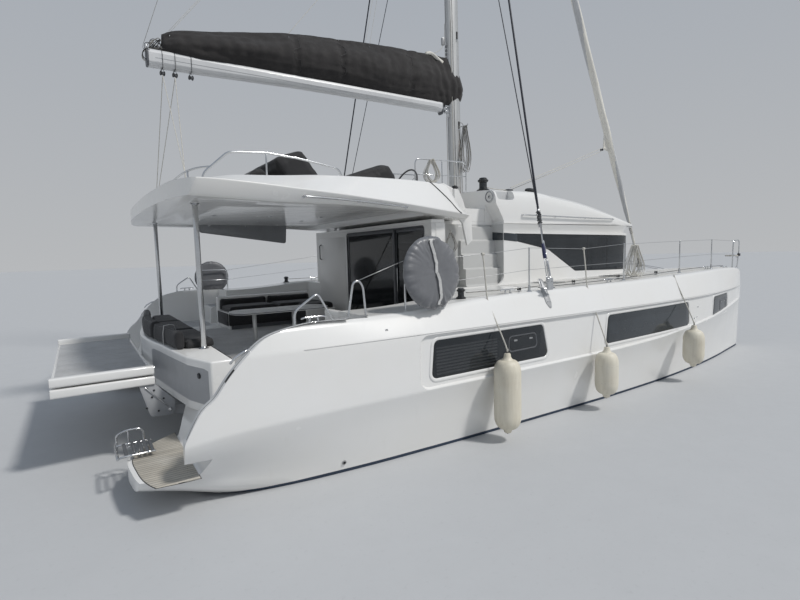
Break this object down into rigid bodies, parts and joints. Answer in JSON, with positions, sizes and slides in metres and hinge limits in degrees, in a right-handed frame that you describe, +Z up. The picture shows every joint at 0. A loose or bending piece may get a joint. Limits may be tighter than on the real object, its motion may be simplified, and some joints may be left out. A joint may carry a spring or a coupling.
{
  "type": "sailing catamaran",
  "caption": "Cruising sailing catamaran afloat, with flybridge, boom and stack bag, furled headsail, hydraulic stern platform and rudders that turn.",
  "frame": {"origin": "amidships on the centreline at the waterline", "axes": "+X to the bows, +Y to port, +Z up"},
  "size_m": [15.8, 8.5518, 25],
  "materials": {
    "gelcoat": "glossy white gelcoat, a little chalked",
    "grey_panel": "grey satin laminate",
    "deck_tread": "non-slip deck moulding",
    "glass": "dark tinted glazing",
    "stainless": "polished stainless tube",
    "alloy": "worn anodised aluminium",
    "canvas": "charcoal acrylic canvas",
    "pack_cover": "dark grey coated fabric",
    "upholstery": "dark navy-black cushions",
    "antifouling": "matt antifouling paint",
    "fender_skin": "worn cream vinyl",
    "sailcloth": "furled woven polyester",
    "wheel_rim": "black stitched grip",
    "bronze": "bare bronze",
    "cabin_wood": "satin veneer",
    "netting": "white woven netting",
    "engine_paint": "grey enamel"
  },
  "bodies": {
    "boat": {"hull_starboard": "gelcoat", "hull_port": "gelcoat", "bridgedeck": "gelcoat", "coachroof_walls": "gelcoat", "coachroof_top": "gelcoat", "flybridge_deck": "gelcoat", "aft_bench": "gelcoat", "cockpit_sofa": "gelcoat", "aft_bulkhead": "grey_panel", "cockpit_table": "grey_panel", "side_window_starboard": "glass", "side_window_port": "glass", "front_window": "glass", "saloon_door_fixed": "glass", "roof_post_starboard": "stainless", "roof_post_port": "stainless", "flybridge_rail_aft": "stainless", "guardrail_starboard": "stainless", "guardrail_port": "stainless", "shrouds_starboard": "stainless", "shrouds_port": "stainless", "mast": "alloy", "crossbeam": "alloy", "longeron": "alloy", "rescue_pack_starboard": "pack_cover", "rescue_pack_port": "pack_cover", "helm_seat": "upholstery", "flybridge_sunpad": "upholstery", "bench_cushions": "upholstery", "sofa_cushions": "upholstery", "saloon_dinette": "upholstery", "keel_starboard": "antifouling", "keel_port": "antifouling", "saildrive_starboard": "antifouling", "saildrive_port": "antifouling", "fender_aft": "fender_skin", "fender_middle": "fender_skin", "fender_forward": "fender_skin", "galley_unit": "cabin_wood", "saloon_table": "cabin_wood", "trampoline_starboard": "netting", "trampoline_port": "netting", "engine_starboard": "engine_paint", "engine_port": "engine_paint"},
    "boom_body": {"boom": "alloy", "sail_bag": "canvas"},
    "furler_body": {"furled_genoa": "sailcloth"},
    "wheel_body": {"steering_wheel": "wheel_rim"},
    "rudder_starboard_body": {"rudder_starboard": "antifouling"},
    "rudder_port_body": {"rudder_port": "antifouling"},
    "propeller_starboard_body": {"propeller_starboard": "bronze"},
    "propeller_port_body": {"propeller_port": "bronze"},
    "saloon_door_body": {"saloon_door": "glass"},
    "engine_hatch_starboard_body": {"engine_hatch_starboard": "deck_tread"},
    "engine_hatch_port_body": {"engine_hatch_port": "deck_tread"},
    "foredeck_hatch_starboard_body": {"foredeck_hatch_starboard": "gelcoat"},
    "foredeck_hatch_port_body": {"foredeck_hatch_port": "gelcoat"},
    "lift_arm_body": {"lift_arms": "grey_panel"},
    "lift_platform_body": {"lift_platform": "gelcoat"},
    "ladder_body": {"swim_ladder": "stainless"}
  },
  "joints": [
    {"name": "boom_swing", "type": "hinge", "parent": "boat", "child": "boom_body", "pos_m": [-0.33, 0, 5.965], "axis": [0, 0, 1], "range_deg": [-65, 65]},
    {"name": "headsail_furl", "type": "hinge", "parent": "boat", "child": "furler_body", "pos_m": [7.57411, 0, 2.08], "axis": [-0.4126, 0, 0.9109], "continuous": true},
    {"name": "steering_turn", "type": "hinge", "parent": "boat", "child": "wheel_body", "pos_m": [-2.15, -0.95, 3.955], "axis": [0.9404, 0, -0.3401], "range_deg": [-350, 350]},
    {"name": "rudder_starboard_turn", "type": "hinge", "parent": "boat", "child": "rudder_starboard_body", "pos_m": [-6.35, -3, -0.2], "axis": [0, 0, 1], "range_deg": [-35, 35]},
    {"name": "rudder_port_turn", "type": "hinge", "parent": "boat", "child": "rudder_port_body", "pos_m": [-6.35, 3, -0.2], "axis": [0, 0, 1], "range_deg": [-35, 35]},
    {"name": "propeller_starboard_spin", "type": "hinge", "parent": "boat", "child": "propeller_starboard_body", "pos_m": [-5.53, -3, -0.8], "axis": [1, 0, 0], "continuous": true},
    {"name": "propeller_port_spin", "type": "hinge", "parent": "boat", "child": "propeller_port_body", "pos_m": [-5.53, 3, -0.8], "axis": [1, 0, 0], "continuous": true},
    {"name": "saloon_door_slide", "type": "slide", "parent": "boat", "child": "saloon_door_body", "axis": [0, 1, 0], "range_m": [0, 0.94]},
    {"name": "engine_hatch_starboard_lift", "type": "hinge", "parent": "boat", "child": "engine_hatch_starboard_body", "pos_m": [-5.116, -3, 1.179], "axis": [0, 1, 0], "range_deg": [0, 90]},
    {"name": "engine_hatch_port_lift", "type": "hinge", "parent": "boat", "child": "engine_hatch_port_body", "pos_m": [-5.116, 3, 1.179], "axis": [0, 1, 0], "range_deg": [0, 90]},
    {"name": "foredeck_hatch_starboard_lift", "type": "hinge", "parent": "boat", "child": "foredeck_hatch_starboard_body", "pos_m": [3.88, -1.266, 2.059], "axis": [-1, 0, 0], "range_deg": [0, 95]},
    {"name": "foredeck_hatch_port_lift", "type": "hinge", "parent": "boat", "child": "foredeck_hatch_port_body", "pos_m": [3.88, 1.266, 2.059], "axis": [1, 0, 0], "range_deg": [0, 95]},
    {"name": "lift_arm_lower", "type": "hinge", "parent": "boat", "child": "lift_arm_body", "pos_m": [-5.5, 0, 0.5], "axis": [0, -1, 0], "range_deg": [0, 67]},
    {"name": "lift_platform_level", "type": "hinge", "parent": "lift_arm_body", "child": "lift_platform_body", "pos_m": [-6.72, 0, 0.655], "axis": [0, -1, 0], "range_deg": [-67, 0]},
    {"name": "ladder_fold", "type": "hinge", "parent": "boat", "child": "ladder_body", "pos_m": [-7.42, -2.62, 0.458], "axis": [0, -1, 0], "range_deg": [0, 255]}
  ],
  "couplings": [
    {"joint": "rudder_starboard_turn", "follows": "steering_turn", "ratio": 0.1},
    {"joint": "rudder_port_turn", "follows": "steering_turn", "ratio": 0.1},
    {"joint": "lift_platform_level", "follows": "lift_arm_lower", "ratio": -1}
  ]
}
